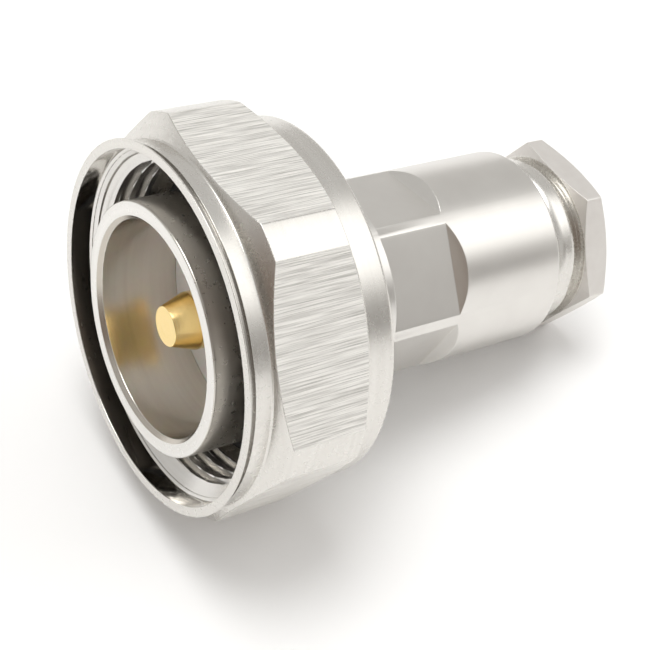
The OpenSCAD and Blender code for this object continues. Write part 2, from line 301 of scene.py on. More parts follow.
# plated metal: the colour follows turning lines, the gloss fine grains, and the relief both
def platedMetal(name, look):
    material, tree, shader = startMaterial(name, {"Metallic": 1.0})
    lines = addNoise(tree, "UV", look["lineScale"], noiseRules["lineDetail"])
    grains = addNoise(tree, "Object", (look["grainScale"],) * 3, noiseRules["grainDetail"])
    tree.links.new(addRamp(tree, lines, noiseRules["span"], look["colours"]), shader.inputs["Base Color"])
    tree.links.new(addRange(tree, grains, *look["gloss"]), shader.inputs["Roughness"])
    addBump(tree, shader, lines, look["lineBump"], noiseRules["lineHeight"])
    addBump(tree, shader, grains, look["grainBump"], noiseRules["grainHeight"])
    return material


# milled flats: thin lines and finer hairs along the plug, in colour and in relief
def milledMetal(name, look):
    material, tree, shader = startMaterial(name, {"Metallic": 1.0})
    lines = addNoise(tree, "UV", look["lineScale"], noiseRules["lineDetail"])
    hairs = addNoise(tree, "UV", look["hairScale"], noiseRules["hairDetail"])
    lineShare = addMath(tree, "MULTIPLY", lines, look["lineShare"])
    hairShare = addMath(tree, "MULTIPLY", hairs, 1.0 - look["lineShare"])
    both = addMath(tree, "ADD", lineShare, hairShare)
    tree.links.new(addRamp(tree, both, look["levels"], look["colours"]), shader.inputs["Base Color"])
    tree.links.new(addRange(tree, hairs, *look["gloss"]), shader.inputs["Roughness"])
    addBump(tree, shader, lines, look["lineBump"], noiseRules["millingHeight"])
    addBump(tree, shader, hairs, look["hairBump"], noiseRules["millingHeight"])
    return material


# white fluoropolymer and black rubber: a faintly mottled colour with fine grain
def mouldedStuff(name, look):
    material, tree, shader = startMaterial(name, look["values"])
    grains = addNoise(tree, "Object", (look["grainScale"],) * 3, noiseRules["mottleDetail"])
    tree.links.new(addRamp(tree, grains, noiseRules["span"], look["colours"]), shader.inputs["Base Color"])
    tree.links.new(addRange(tree, grains, *look["gloss"]), shader.inputs["Roughness"])
    addBump(tree, shader, grains, look["grainBump"], noiseRules["mottleHeight"])
    return material


# finishes of the nickel plate; a lathe leaves long lines round the piece
lathe = {"lineScale": (0.03, 1.6, 1.0), "grainScale": 1500.0}
nickelLooks = {
    "turned": {**lathe, "colours": ((0.70, 0.68, 0.645), (0.745, 0.727, 0.692)), "gloss": (0.26, 0.28),
               "lineBump": 0.05, "grainBump": 0.01},
    "bright": {**lathe, "colours": ((0.70, 0.68, 0.645), (0.745, 0.727, 0.692)), "gloss": (0.07, 0.08),
               "lineBump": 0.02, "grainBump": 0.01},
    # groove: darker nickel that paints the shade in the fine line behind the coupling nut's lip
    "groove": {**lathe, "colours": ((0.46, 0.44, 0.41), (0.52, 0.50, 0.47)), "gloss": (0.25, 0.28),
               "lineBump": 0.02, "grainBump": 0.02},
    "thread": {**lathe, "colours": ((0.72, 0.705, 0.68), (0.77, 0.755, 0.73)), "gloss": (0.21, 0.23),
               "lineBump": 0.02, "grainBump": 0.01},
    "bore": {**lathe, "colours": ((0.76, 0.72, 0.66), (0.81, 0.775, 0.715)), "gloss": (0.18, 0.20),
             "lineBump": 0.03, "grainBump": 0.01},
    # tube: darker nickel that paints the shade of the deep gap between the tube's outside and the nut's
    # thread
    "tube": {**lathe, "colours": ((0.60, 0.57, 0.52), (0.65, 0.62, 0.57)), "gloss": (0.27, 0.29),
             "lineBump": 0.03, "grainBump": 0.01},
    "rim": {**lathe, "colours": ((0.78, 0.765, 0.735), (0.83, 0.815, 0.785)), "gloss": (0.27, 0.29),
            "lineBump": 0.03, "grainBump": 0.01},
    # darker, browner nickel that paints shade on the rim's inner bevel
    "bevelShade": {**lathe, "colours": ((0.54, 0.50, 0.44), (0.60, 0.56, 0.50)), "gloss": (0.24, 0.26),
             "lineBump": 0.03, "grainBump": 0.01},
    "blasted": {"lineScale": (0.3, 0.3, 1.0), "grainScale": 3000.0, "gloss": (0.28, 0.30),
                "colours": ((0.72, 0.70, 0.67), (0.75, 0.732, 0.70)), "lineBump": 0.01, "grainBump": 0.02},
    "satin": {"lineScale": (0.6, 0.6, 1.0), "grainScale": 3000.0, "gloss": (0.45, 0.48),
              "colours": ((0.77, 0.74, 0.71), (0.81, 0.785, 0.755)), "lineBump": 0.02, "grainBump": 0.02},
}
nickel = {finish: platedMetal("nickel" + finish.title(), look) for finish, look in nickelLooks.items()}
nickel["milled"] = milledMetal("nickelMilled", {
    "lineScale": (7.0, 0.11, 1.0), "hairScale": (13.0, 0.3, 1.0), "lineShare": 0.5, "levels": (0.37, 0.57),
    "colours": ((0.53, 0.515, 0.485), (0.99, 0.975, 0.94)), "gloss": (0.46, 0.54),
    "lineBump": 0.4, "hairBump": 0.3})
goldPlate = platedMetal("goldPlate", {
    "lineScale": (0.1, 8.0, 1.0), "grainScale": 900.0, "gloss": (0.17, 0.20),
    "colours": ((0.91, 0.69, 0.30), (0.96, 0.75, 0.37)), "lineBump": 0.08, "grainBump": 0.04})
springSteel = platedMetal("springSteel", {
    "lineScale": (0.1, 5.0, 1.0), "grainScale": 1200.0, "gloss": (0.30, 0.42),
    "colours": ((0.36, 0.36, 0.37), (0.46, 0.46, 0.47)), "lineBump": 0.08, "grainBump": 0.08})
ptfeWhite = mouldedStuff("ptfeWhite", {
    "values": {"IOR": 1.35, "Subsurface Weight": 0.25, "Subsurface Scale": 0.0008}, "grainScale": 2500.0,
    "colours": ((0.90, 0.895, 0.885), (0.94, 0.935, 0.925)), "gloss": (0.40, 0.55), "grainBump": 0.10})
rubberBlack = mouldedStuff("rubberBlack", {
    "values": {"IOR": 1.5}, "grainScale": 3000.0,
    "colours": ((0.018, 0.018, 0.019), (0.035, 0.034, 0.033)), "gloss": (0.55, 0.75), "grainBump": 0.35})
print("materials made")

# coupling nut: lip, fine line behind it, band, hexagon with turned corners, collar, and the web that turns
# on the shell
nutSizes = {
    "mouth": 15.1, "mouthDepth": 1.85,
    "lip": 15.95, "lipWidth": 0.12, "line": 15.35, "lineEnd": 0.72, "band": 15.6,
    "flat": 16.0, "corner": 17.65, "cornerBlend": 0.03, "firstFlat": 31.3,  # degrees
    "hexStart": 2.2, "hexEnd": 10.9, "frontBevel": 1.0, "rearBevel": 1.05,
    "collar": 15.87, "length": 13.45,
    "webBore": 10.3, "webStart": 10.45, "groove": 11.1, "grooveStart": 11.45, "grooveEnd": 12.45,
    "relief": 14.4, "reliefStart": 7.0,
    "recess": 14.85, "frontLap": 0.15, "backLap": 0.05,  # room for the thread, which is a piece of its own
    "flatRoom": 0.02, "mouthRoom": 0.02, "lineRoom": 0.03, "lineLap": 0.005,  # where the finishes meet
    "sameRadius": 1e-6, "flatColumns": 150, "cornerColumns": 7,
}
# ridges of the milled flats
ridgeSizes = {
    "seed": 7, "pitch": 0.46, "height": 0.004,
    "waves": ((1.0, 0.55), (0.61, 0.35), (1.9, 0.4)),  # share of the pitch, weight
    "wander": (0.25, 0.6), "wanderPhase": 6, "wanderLength": 1.7, "drift": (-0.25, 0.25),
    "sideRoom": 0.15, "sideFade": 0.25, "endRoom": 0.12, "endFade": 0.15,
    "rows": 6, "firstRow": 0.05, "lastRow": 0.95,  # shares of the flat's length
}


# ridge height across a flat: sum of three sine waves, each with a pitch that wanders across the flat and a
# phase that drifts along the nut
def ridgeRelief(across, sector, along, sizes):
    random = np.random.default_rng(sizes["seed"])
    total = np.zeros(np.broadcast(across, along).shape)
    for share, weight in sizes["waves"]:
        phase = random.uniform(0, 2 * np.pi, 6)[sector]
        wander = random.uniform(*sizes["wander"], 6)[sector] * sizes["wanderPhase"]
        drift = random.uniform(*sizes["drift"], 6)[sector]
        wave = 2 * np.pi * across / (sizes["pitch"] * share)
        wave = wave + wander * np.sin(across / sizes["wanderLength"] + phase) + drift * along
        total = total + weight * np.sin(wave + phase)
    return total


# share of the full height at a distance from an edge: none in the room left free, then rising evenly to one
def edgeFade(distance, room, fade):
    return np.clip((distance - room) / fade, 0, 1)


# hexagon radius: the softer of the turned corner and the flat's distance over the cosine of the angle from
# its middle; each bevel is a cone, so a flat starts and ends where the cone reaches that radius
def makeCouplingNut(sizes, ridges):
    edge = math.acos(sizes["flat"] / sizes["corner"])
    sixth = sixthAngles(edge, sizes["flatColumns"], sizes["cornerColumns"])
    angles, fromFlat = repeatSixth(sixth, sizes["firstFlat"])
    limit = softMin(sizes["flat"] / np.cos(fromFlat), sizes["corner"], sizes["cornerBlend"])
    frontSlope = sizes["frontBevel"] / (sizes["corner"] - sizes["band"])
    rearSlope = sizes["rearBevel"] / (sizes["corner"] - sizes["collar"])
    flatStart = sizes["hexStart"] + (limit - sizes["band"]) * frontSlope
    flatEnd = sizes["hexEnd"] - (limit - sizes["collar"]) * rearSlope
    shares = np.linspace(ridges["firstRow"], ridges["lastRow"], ridges["rows"])
    recessStart = sizes["mouthDepth"] + sizes["frontLap"]
    recessEnd = sizes["reliefStart"] + sizes["backLap"]
    outline = roundOutline([
        (sizes["mouth"], 0.0, 0.06, 3),
        (sizes["lip"], 0.0, 0.05, 3),
        (sizes["lip"], sizes["lipWidth"], 0.04, 2),
        (sizes["line"], sizes["lipWidth"], 0.02, 2),
        (sizes["line"], sizes["lineEnd"], 0.02, 2),
        (sizes["band"], sizes["lineEnd"], 0.03, 2),
        (sizes["band"], sizes["hexStart"], 0.10, 2),
        (limit, flatStart, 0.05, 3),
        *[(limit, flatStart + share * (flatEnd - flatStart), *plain) for share in shares],
        (limit, flatEnd, 0.05, 3),
        (sizes["collar"], sizes["hexEnd"], 0.10, 2),
        (sizes["collar"], sizes["length"], 0.30, 4),
        (sizes["webBore"], sizes["length"], 0.15, 2),
        (sizes["webBore"], sizes["grooveEnd"], *plain),
        (sizes["groove"], sizes["grooveEnd"], *plain),
        (sizes["groove"], sizes["grooveStart"], *plain),
        (sizes["webBore"], sizes["grooveStart"], *plain),
        (sizes["webBore"], sizes["webStart"], *plain),
        (sizes["relief"], sizes["webStart"], 0.1, 2),
        (sizes["relief"], recessEnd, *plain),
        (sizes["recess"], recessEnd, *plain),
        (sizes["recess"], recessStart, *plain),
        (sizes["mouth"], recessStart, *plain),
    ], len(angles), True)
    # the ridges lift only the rows that lie on the flats
    onHex = np.abs(outline[..., 0] - limit[:, None]) < sizes["sameRadius"]
    sector = np.repeat(np.arange(6), len(sixth))[:, None]
    across = (sizes["flat"] * np.tan(fromFlat))[:, None]
    halfWidth = sizes["flat"] * math.tan(edge)
    depth = outline[..., 1]
    fade = edgeFade(halfWidth - np.abs(across), ridges["sideRoom"], ridges["sideFade"])
    fade = fade * edgeFade(depth - flatStart[:, None], ridges["endRoom"], ridges["endFade"])
    fade = fade * edgeFade(flatEnd[:, None] - depth, ridges["endRoom"], ridges["endFade"])
    outline[..., 0] += ridges["height"] * ridgeRelief(across, sector, depth, ridges) * fade * onHex
    mesh = wrapMesh("couplingNut", outline, angles, sizes["flat"])
    # flats take the second finish, the wall of the mouth the third and the line behind the lip the fourth, a
    # darker nickel that paints the shade in that line
    _, middle, high = faceLimits(outline)
    faceRadius, faceDepth = middle[..., 0], middle[..., 1]
    flatFace = onHex & np.roll(onHex, -1, axis=1) & (np.abs(across) < halfWidth - sizes["flatRoom"])
    flatFace &= (faceDepth > flatStart[:, None]) & (faceDepth < flatEnd[:, None])
    mouthFace = (high[..., 0] < sizes["mouth"] + sizes["mouthRoom"]) & (faceDepth < sizes["mouthDepth"])
    shadedLineFace = faceRadius > sizes["line"] - sizes["lineRoom"]
    shadedLineFace &= faceRadius < sizes["lip"] - sizes["lineRoom"]
    shadedLineFace &= faceDepth > sizes["lipWidth"] - sizes["lineLap"]
    shadedLineFace &= faceDepth < sizes["lineEnd"] + sizes["lineLap"]
    paintFaces(mesh, 1 * flatFace + 2 * mouthFace + 3 * shadedLineFace)
    finishes = [nickel["turned"], nickel["milled"], nickel["bright"], nickel["groove"]]
    finishPiece(mesh, finishes, "coupling", ["coupling_nut"])


makeCouplingNut(nutSizes, ridgeSizes)

# inside thread of the nut, M29 x 1.5: crests 13.7 mm and roots 14.55 mm from the axis
threadSizes = {
    "crest": 13.7, "root": 14.55, "pitch": 1.5, "crestAt": 5.32, "crestShare": 0.36, "rootShare": 0.10,
    "mouth": nutSizes["mouth"], "start": nutSizes["mouthDepth"], "bevelEnd": 2.95, "bevelBlend": 0.02,
    "relief": nutSizes["relief"], "end": nutSizes["reliefStart"], "back": 7.12, "outer": 15.15,
    "columns": 420, "rowStep": 0.04,
}


# depth of cut from 0 at the crest to 1 at the root: flat at both, with flanks that hollow towards the root,
# moving one pitch along for each turn
def threadWave(angle, depth, sizes):
    phase = ((depth - sizes["crestAt"]) / sizes["pitch"] + angle / (2 * np.pi)) % 1.0
    fromCrest = np.minimum(phase, 1 - phase)
    flank = 0.5 - 0.5 * sizes["crestShare"] - 0.5 * sizes["rootShare"]
    rise = np.clip((fromCrest - 0.5 * sizes["crestShare"]) / flank, 0, 1)
    return rise * (2 - rise)


# thread radius: the larger of the thread's cut and the bevel that opens from the first crest to the mouth
def makeCouplingThread(sizes):
    angles = np.linspace(0, 2 * np.pi, sizes["columns"], endpoint=False)
    rows = np.arange(sizes["start"], sizes["end"], sizes["rowStep"])
    angleGrid, depth = np.meshgrid(angles, rows, indexing="ij")
    cut = sizes["crest"] + (sizes["root"] - sizes["crest"]) * threadWave(angleGrid, depth, sizes)
    share = (depth - sizes["start"]) / (sizes["bevelEnd"] - sizes["start"])
    bevel = sizes["mouth"] + (sizes["crest"] - sizes["mouth"]) * share
    radius = -softMin(-cut, -bevel, sizes["bevelBlend"])
    inside = np.stack([radius, depth], axis=-1)
    outside = np.array([
        (sizes["relief"], sizes["end"]), (sizes["relief"], sizes["back"]),
        (sizes["outer"], sizes["back"]), (sizes["outer"], sizes["start"])])
    outline = np.concatenate([inside, np.tile(outside, (len(angles), 1, 1))], axis=1)
    mesh = wrapMesh("couplingThread", outline, angles, sizes["crest"], lengths=outline[0, :, 1])
    finishPiece(mesh, [nickel["thread"]], "coupling", ["coupling_nut"])


makeCouplingThread(threadSizes)

# front shell: contact tube with a bevelled rim, gasket seat, flange, neck with the ring's groove
shellSizes = {
    "inner": 9.3, "outer": 10.88, "rim": -0.15, "rimBevel": 0.4, "rimRound": 0.17,
    "seat": 11.48, "seatStart": 7.3, "flange": 12.9, "flangeStart": 8.6, "flangeEnd": 10.4,
    "neck": 10.2, "end": 13.75,
    "groove": 9.3, "grooveStart": nutSizes["grooveStart"], "grooveEnd": nutSizes["grooveEnd"],
    "spigot": 8.22, "spigotStart": 9.5,
    "boreRoom": 0.01, "rimRoom": 0.04,  # where the finishes meet
    "columns": 240,
}


def makeFrontShell(sizes):
    bevelEnd = sizes["inner"] + sizes["rimBevel"]

    # the bore takes the second finish, the rim's bevel the third, a darker nickel that paints shade on it,
    # and the rim's flat face the fourth
    def shellFinish(low, high):
        boreEnd = sizes["inner"] + sizes["boreRoom"]
        finish = np.zeros(low.shape[:2])
        finish[high[..., 1] < sizes["rim"] + sizes["rimRoom"]] = 3
        finish[high[..., 0] < boreEnd] = 1
        finish[(low[..., 0] > boreEnd) & (high[..., 0] < bevelEnd)] = 2
        return finish

    turnedPiece("frontShell", [
        (bevelEnd, sizes["rim"], 0.05, 2),
        (sizes["outer"], sizes["rim"], sizes["rimRound"], 3),
        (sizes["outer"], sizes["seatStart"], 0.05, 2),
        (sizes["seat"], sizes["seatStart"], 0.05, 2),
        (sizes["seat"], sizes["flangeStart"], *plain),
        (sizes["flange"], sizes["flangeStart"], 0.1, 2),
        (sizes["flange"], sizes["flangeEnd"], 0.1, 2),
        (sizes["neck"], sizes["flangeEnd"], *plain),
        (sizes["neck"], sizes["grooveStart"], *plain),
        (sizes["groove"], sizes["grooveStart"], *plain),
        (sizes["groove"], sizes["grooveEnd"], *plain),
        (sizes["neck"], sizes["grooveEnd"], *plain),
        (sizes["neck"], sizes["end"], 0.1, 3),
        (sizes["spigot"], sizes["end"], *plain),
        (sizes["spigot"], sizes["spigotStart"], *plain),
        (sizes["inner"], sizes["spigotStart"], *plain),
        (sizes["inner"], sizes["rim"] + sizes["rimBevel"], 0.05, 2),
    # the tube's outside takes the first finish, darkened to paint the shade of the gap inside the nut
    ], sizes["columns"], [nickel["tube"], nickel["bore"], nickel["bevelShade"], nickel["rim"]],
        "plug", ["front_shell"], finishAt=shellFinish)


makeFrontShell(shellSizes)

# rubber ring on the flange
interfaceSizes = {
    "inner": 11.5, "outer": 12.6, "start": shellSizes["seatStart"], "end": shellSizes["flangeStart"],
    "columns": 160,
}


def makeInterfaceGasket(sizes):
    turnedPiece("interfaceGasket", [
        (sizes["inner"], sizes["start"], 0.12, 3),
        (sizes["outer"], sizes["start"], 0.2, 3),
        (sizes["outer"], sizes["end"], 0.1, 2),
        (sizes["inner"], sizes["end"], *plain),
    ], sizes["columns"], [rubberBlack], "plug", ["interface_gasket"])


makeInterfaceGasket(interfaceSizes)

# white disc at the bottom of the tube that carries the pin
frontDiscSizes = {
    "inner": 2.87, "outer": 9.28, "start": 7.5, "end": shellSizes["spigotStart"], "columns": 160,
}


def makeFrontInsulator(sizes):
    turnedPiece("frontInsulator", [
        (sizes["inner"], sizes["start"], 0.06, 2),
        (sizes["outer"], sizes["start"], 0.08, 2),
        (sizes["outer"], sizes["end"], *plain),
        (sizes["inner"], sizes["end"], *plain),
    ], sizes["columns"], [ptfeWhite], "plug", ["front_insulator"])


makeFrontInsulator(frontDiscSizes)

# second white disc, bevelled outside, that holds the back of the contact
rearDiscSizes = {"inner": 2.22, "outer": 6.58, "bevel": 0.3, "start": 22.0, "end": 26.0, "columns": 120}


def makeRearInsulator(sizes):
    turnedPiece("rearInsulator", [
        (sizes["inner"], sizes["start"], 0.05, 2),
        (sizes["outer"] - sizes["bevel"], sizes["start"], 0.05, 2),
        (sizes["outer"], sizes["start"] + sizes["bevel"], 0.05, 2),
        (sizes["outer"], sizes["end"] - sizes["bevel"], 0.05, 2),
        (sizes["outer"] - sizes["bevel"], sizes["end"], 0.05, 2),
        (sizes["inner"], sizes["end"], 0.05, 2),
    ], sizes["columns"], [ptfeWhite], "plug", ["rear_insulator"])


makeRearInsulator(rearDiscSizes)
print("tube and insulators made")

# centre contact: tapered pin, conductor with its collar, solder cup
pinSizes = {
    "tip": 1.73, "tipStart": 1.45, "pin": 2.5, "taperEnd": 3.7,
    "conductor": 2.85, "face": frontDiscSizes["start"], "seat": frontDiscSizes["end"],
    "collar": 3.4, "collarEnd": 10.3,
    "cup": 2.2, "cupStart": rearDiscSizes["start"], "end": rearDiscSizes["end"], "bore": 1.45, "floor": 20.0,
    "columns": 120,
}


def makeCentreContact(sizes):
    turnedPiece("centreContact", [
        (0.0, sizes["tipStart"], *plain),
        (sizes["tip"], sizes["tipStart"], 0.06, 3),
        (sizes["pin"], sizes["taperEnd"], 0.08, 3),
        (sizes["pin"], sizes["face"], 0.05, 2),
        (sizes["conductor"], sizes["face"], 0.05, 2),
        (sizes["conductor"], sizes["seat"], *plain),
        (sizes["collar"], sizes["seat"], 0.1, 2),
        (sizes["collar"], sizes["collarEnd"], 0.1, 2),
        (sizes["conductor"], sizes["collarEnd"], *plain),
        (sizes["conductor"], sizes["cupStart"], 0.1, 2),
        (sizes["cup"], sizes["cupStart"], *plain),
        (sizes["cup"], sizes["end"], 0.12, 3),
        (sizes["bore"], sizes["end"], 0.12, 3),
        (sizes["bore"], sizes["floor"], 0.1, 2),
        (0.0, sizes["floor"], *plain),
    ], sizes["columns"], [goldPlate], "plug", ["center_contact"], closed=False)


makeCentreContact(pinSizes)

# body: round, with a hexagon of shallow flats that run out in a sloped shoulder
bodySizes = {
    "round": 9.02, "start": shellSizes["end"], "end": 37.4, "edge": 0.45,
    "flat": 8.05, "cornerBlend": 0.02, "firstFlat": 39.5,  # degrees
    "flatsStart": 18.65, "flatsEnd": 25.65, "runOut": 0.9, "leastRunOut": 0.0005,
    "spigot": 8.2, "spigotStart": shellSizes["spigotStart"],
    "bore": 6.6, "chamber": 7.3, "chamberStart": 27.7,
    "flatColumns": 41, "cornerColumns": 7,
}


# the slope of a flat's run-out ends further back the deeper the flat is cut at that angle
def makeBody(sizes):
    edge = math.acos(sizes["flat"] / sizes["round"])
    sixth = sixthAngles(edge, sizes["flatColumns"], sizes["cornerColumns"])
    angles, fromFlat = repeatSixth(sixth, sizes["firstFlat"])
    limit = softMin(sizes["flat"] / np.cos(fromFlat), sizes["round"], sizes["cornerBlend"])
    slope = sizes["runOut"] / (sizes["round"] - sizes["flat"])
    runOut = np.maximum(sizes["round"] * np.cos(fromFlat) - sizes["flat"], 0) * slope
    outline = roundOutline([
        (sizes["bore"], sizes["spigotStart"], *plain),
        (sizes["spigot"], sizes["spigotStart"], *plain),
        (sizes["spigot"], sizes["start"], *plain),
        (sizes["round"], sizes["start"], 0.15, 3),
        (sizes["round"], sizes["flatsStart"], 0.06, 3),
        (limit, sizes["flatsStart"], 0.06, 2),
        (limit, sizes["flatsEnd"], 0.06, 2),
        (sizes["round"], sizes["flatsEnd"] + runOut + sizes["leastRunOut"], 0.06, 3),
        (sizes["round"], sizes["end"] - sizes["edge"], 0.07, 3),
        (sizes["round"] - sizes["edge"], sizes["end"], 0.07, 3),
        (sizes["chamber"], sizes["end"], 0.08, 2),
        (sizes["chamber"], sizes["chamberStart"], *plain),
        (sizes["bore"], sizes["chamberStart"], *plain),
    ], len(angles), True)
    mesh = wrapMesh("plugBody", outline, angles, sizes["round"])
    finishPiece(mesh, [nickel["blasted"]], "plug", ["body"])


makeBody(bodySizes)

# braid clamp: cone in front, ridge behind that bites into the clamp gasket
braidSizes = {
    "inner": 3.75, "outer": 7.2, "tip": 5.0, "cone": 6.4,
    "start": rearDiscSizes["end"], "coneEnd": bodySizes["chamberStart"], "end": 29.6,
    "ridge": 6.35, "ridgeHalf": 0.5, "ridgeEnd": 30.3, "columns": 120,
}


def makeBraidClamp(sizes):
    turnedPiece("braidClamp", [
        (sizes["inner"], sizes["start"], 0.06, 2),
        (sizes["tip"], sizes["start"], 0.1, 2),
        (sizes["cone"], sizes["coneEnd"], 0.05, 2),
        (sizes["outer"], sizes["coneEnd"], 0.05, 2),
        (sizes["outer"], sizes["end"], 0.05, 2),
        (sizes["ridge"] + sizes["ridgeHalf"], sizes["end"], 0.03, 2),
        (sizes["ridge"], sizes["ridgeEnd"], 0.05, 2),
        (sizes["ridge"] - sizes["ridgeHalf"], sizes["end"], 0.03, 2),
        (sizes["inner"], sizes["end"], 0.1, 2),
    ], sizes["columns"], [nickel["turned"]], "plug", ["braid_clamp"])


makeBraidClamp(braidSizes)

# rubber ring with a V groove over the braid clamp's ridge
clampGasketSizes = {
    "inner": 5.5, "outer": braidSizes["outer"], "start": braidSizes["end"], "end": 33.0,
    "groove": braidSizes["ridge"], "grooveHalf": braidSizes["ridgeHalf"],
    "grooveEnd": braidSizes["ridgeEnd"], "columns": 120,
}


def makeClampGasket(sizes):
    turnedPiece("clampGasket", [
        (sizes["inner"], sizes["start"], 0.1, 2),
        (sizes["groove"] - sizes["grooveHalf"], sizes["start"], *plain),
        (sizes["groove"], sizes["grooveEnd"], *plain),
        (sizes["groove"] + sizes["grooveHalf"], sizes["start"], *plain),
        (sizes["outer"], sizes["start"], 0.1, 2),
        (sizes["outer"], sizes["end"], 0.1, 2),
        (sizes["inner"], sizes["end"], 0.2, 3),
    ], sizes["columns"], [rubberBlack], "plug", ["clamp_gasket"])


makeClampGasket(clampGasketSizes)


# four corners of a plain ring, all with the same rounding
def ringCorners(sizes):
    edge = (sizes["edge"], 2)
    return [(sizes["inner"], sizes["start"], *edge), (sizes["outer"], sizes["start"], *edge),
            (sizes["outer"], sizes["end"], *edge), (sizes["inner"], sizes["end"], *edge)]


# flat washer between the gasket and the clamp nut
washerSizes = {
    "inner": 5.6, "outer": 7.2, "start": clampGasketSizes["end"], "end": 33.85, "edge": 0.08, "columns": 120,
}
turnedPiece("slipWasher", ringCorners(washerSizes), washerSizes["columns"], [nickel["turned"]],
            "washer", ["slip_washer"])

# split ring that keeps the nut on the shell, open at the bottom
ringSizes = {
    "inner": 9.4, "outer": 11.0, "start": 11.55, "end": 12.35, "edge": 0.06, "opening": 2.2, "columns": 121,
}


# the ring is wrapped all round, then the faces across the opening give way to two flat ends
def makeRetainingRing(sizes):
    half = math.asin(0.5 * sizes["opening"] / sizes["inner"])
    angles = np.linspace(-0.5 * np.pi + half, 1.5 * np.pi - half, sizes["columns"])
    outline = roundOutline(ringCorners(sizes), len(angles), True)
    mesh = wrapMesh("retainingRing", outline, angles, sizes["outer"])
    work = bmesh.new()
    work.from_mesh(mesh)
    work.faces.ensure_lookup_table()
    lastColumn = (len(angles) - 1) * outline.shape[1]
    bmesh.ops.delete(work, geom=work.faces[lastColumn:], context="FACES")
    bmesh.ops.holes_fill(work, edges=[edge for edge in work.edges if edge.is_boundary], sides=0)
    work.to_mesh(mesh)
    work.free()
    finishPiece(mesh, [springSteel], "plug", ["retaining_ring"])


makeRetainingRing(ringSizes)
print("inner pieces made")

# clamp nut: threaded shank, rounded neck with an undercut, thin hexagon bevelled at both ends
clampSizes = {
    "bore": 5.5, "boreBevel": 0.5,
    "shank": 7.25, "shankRoot": 6.72, "shankStart": washerSizes["end"], "shankEdge": 0.4,
    "pitch": 1.0, "crestAt": 34.0, "crestShare": 0.16, "rootShare": 0.16,
    "threadStart": 34.4, "threadEnd": 37.2, "threadFade": 0.3, "rowStep": 0.05,
    "shoulder": 37.5, "shoulderEdge": 7.4,
    "neck": 7.89, "neckStart": 38.5, "neckEnd": 39.95, "neckRound": 0.45,
    "undercut": 7.05, "undercutEnd": 40.6,
    "flat": 8.0, "cornerBlend": 0.03, "firstFlat": 30.0,  # degrees
    "hexStart": 41.12, "end": 44.0, "frontBevel": 0.43, "rearBevel": 0.73, "face": 7.56,
    "hexRoom": 0.02, "boreRoom": 0.1,  # where the finishes meet
    "flatColumns": 33,
    "edgeRoom": 0.03, "edgeAngles": (-0.018, -0.009, -0.003, 0.003, 0.009, 0.018),  # radians
}


# hexagon as on the coupling nut, with corners that are cut back a little; shank radius: its crest less the
# depth of the thread's cut
def makeClampNut(sizes):
    flatEdge = 0.5 * sixthTurn
    flatEnd = flatEdge - sizes["edgeRoom"]
    flat = np.linspace(-flatEnd, flatEnd, sizes["flatColumns"])
    sixth = np.concatenate([flat, flatEdge + np.array(sizes["edgeAngles"])])
    angles, fromFlat = repeatSixth(sixth, sizes["firstFlat"])
    corner = sizes["flat"] / math.cos(flatEdge)
    limit = softMin(sizes["flat"] / np.cos(fromFlat), corner - sizes["cornerBlend"], sizes["cornerBlend"])
    flatsStart = sizes["hexStart"] + (limit - sizes["neck"]) * sizes["frontBevel"] / (corner - sizes["neck"])
    flatsEnd = sizes["end"] - (limit - sizes["face"]) * sizes["rearBevel"] / (corner - sizes["face"])
    # the thread's cut fades out towards both ends of the shank
    thread = []
    for row in np.arange(sizes["threadStart"], sizes["threadEnd"], sizes["rowStep"]):
        fromEnd = min(row - sizes["threadStart"], sizes["threadEnd"] - row)
        cut = np.minimum(threadWave(angles, row, sizes), edgeFade(fromEnd, 0.0, sizes["threadFade"]))
        thread.append((sizes["shank"] - (sizes["shank"] - sizes["shankRoot"]) * cut, row, *plain))
    outline = roundOutline([
        (sizes["bore"], sizes["shankStart"], 0.1, 2),
        (sizes["shank"] - sizes["shankEdge"], sizes["shankStart"], 0.06, 2),
        (sizes["shank"], sizes["shankStart"] + sizes["shankEdge"], 0.05, 2),
        *thread,
        (sizes["shank"], sizes["shoulder"], 0.05, 2),
        (sizes["shoulderEdge"], sizes["shoulder"], 0.08, 3),
        (sizes["neck"], sizes["neckStart"], sizes["neckRound"], 8),
        (sizes["neck"], sizes["neckEnd"], sizes["neckRound"], 8),
        (sizes["undercut"], sizes["undercutEnd"], 0.15, 3),
        (sizes["undercut"], sizes["hexStart"], 0.04, 2),
        (sizes["neck"], sizes["hexStart"], 0.04, 2),
        (limit, flatsStart, 0.03, 2),
        (limit, flatsEnd, 0.03, 2),
        (sizes["face"], sizes["end"], 0.08, 3),
        (sizes["bore"] + sizes["boreBevel"], sizes["end"], 0.06, 2),
        (sizes["bore"], sizes["end"] - sizes["boreBevel"], 0.06, 2),
    ], len(angles), True)
    mesh = wrapMesh("clampNut", outline, angles, sizes["neck"])
    # the outside of the hexagon takes the second finish
    low, middle, _ = faceLimits(outline)
    hexFace = middle[..., 1] > sizes["hexStart"] + sizes["hexRoom"]
    hexFace &= low[..., 0] > sizes["bore"] + sizes["boreRoom"]
    paintFaces(mesh, hexFace)
    finishPiece(mesh, [nickel["turned"], nickel["satin"]], "clamp", ["clamp_nut"])


makeClampNut(clampSizes)
print("all pieces made")

# white table that keeps the soft shadow; the camera and the metal see it a little lighter than it is lit
tableLook = {
    "size": 4.0,  # metres
    "sidePoints": 3, "colour": (0.96, 0.96, 0.96), "roughness": 0.9, "specular": 0.1, "lift": 0.04,
}


